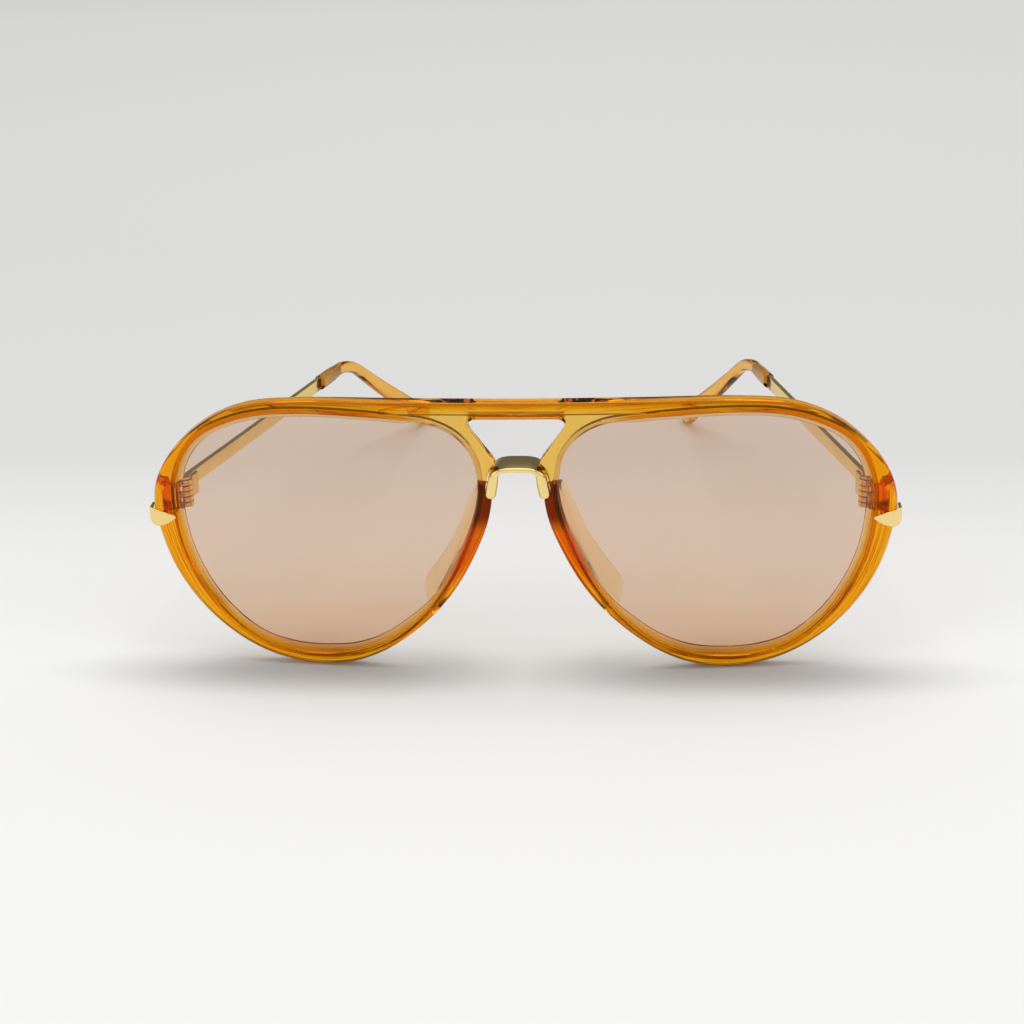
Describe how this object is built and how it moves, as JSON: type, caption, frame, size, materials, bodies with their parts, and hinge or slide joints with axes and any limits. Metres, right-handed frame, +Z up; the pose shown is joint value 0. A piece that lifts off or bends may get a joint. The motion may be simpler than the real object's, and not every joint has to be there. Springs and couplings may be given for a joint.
{
  "type": "aviator sunglasses",
  "caption": "Aviator sunglasses with a transparent amber front, metal saddle bridge, pale peach lenses and flat metal temples that fold in on hinges.",
  "frame": {"origin": "middle of the bottom of the whole box, on the table that the open glasses stand on", "axes": "+X towards the wearer's left, -Y out of the front face, +Y back along the open temples, +Z up"},
  "size_m": [0.1472, 0.1472, 0.0577],
  "materials": {
    "amber_plastic": "transparent amber, polished",
    "amber_tip": "transparent amber, polished",
    "pad_plastic": "transparent amber, polished",
    "gold_metal": "gold plated, polished",
    "peach_lens": "pale peach tint, clear"
  },
  "bodies": {
    "front": {"front_frame": "amber_plastic", "bridge": "gold_metal", "lens_left": "peach_lens", "lens_right": "peach_lens", "nose_pad_left": "pad_plastic", "nose_pad_right": "pad_plastic", "end_cap_left": "gold_metal", "end_cap_right": "gold_metal", "hinge_front_leaf_left": "gold_metal", "hinge_front_leaf_right": "gold_metal", "hinge_rivet_low_left": "gold_metal", "hinge_rivet_low_right": "gold_metal", "hinge_rivet_high_left": "gold_metal", "hinge_rivet_high_right": "gold_metal", "hinge_screw_left": "gold_metal", "hinge_screw_right": "gold_metal"},
    "temple_left": {"hinge_temple_leaf_left": "gold_metal", "temple_arm_left": "gold_metal", "temple_tip_left": "amber_tip"},
    "temple_right": {"hinge_temple_leaf_right": "gold_metal", "temple_arm_right": "gold_metal", "temple_tip_right": "amber_tip"}
  },
  "joints": [
    {"name": "temple_left_fold", "type": "hinge", "parent": "front", "child": "temple_left", "pos_m": [0.0671, -0.06206, 0.03555], "axis": [0, 0, 1], "range_deg": [0, 76]},
    {"name": "temple_right_fold", "type": "hinge", "parent": "front", "child": "temple_right", "pos_m": [-0.0671, -0.06206, 0.03555], "axis": [0, 0, -1], "range_deg": [0, 70]}
  ]
}
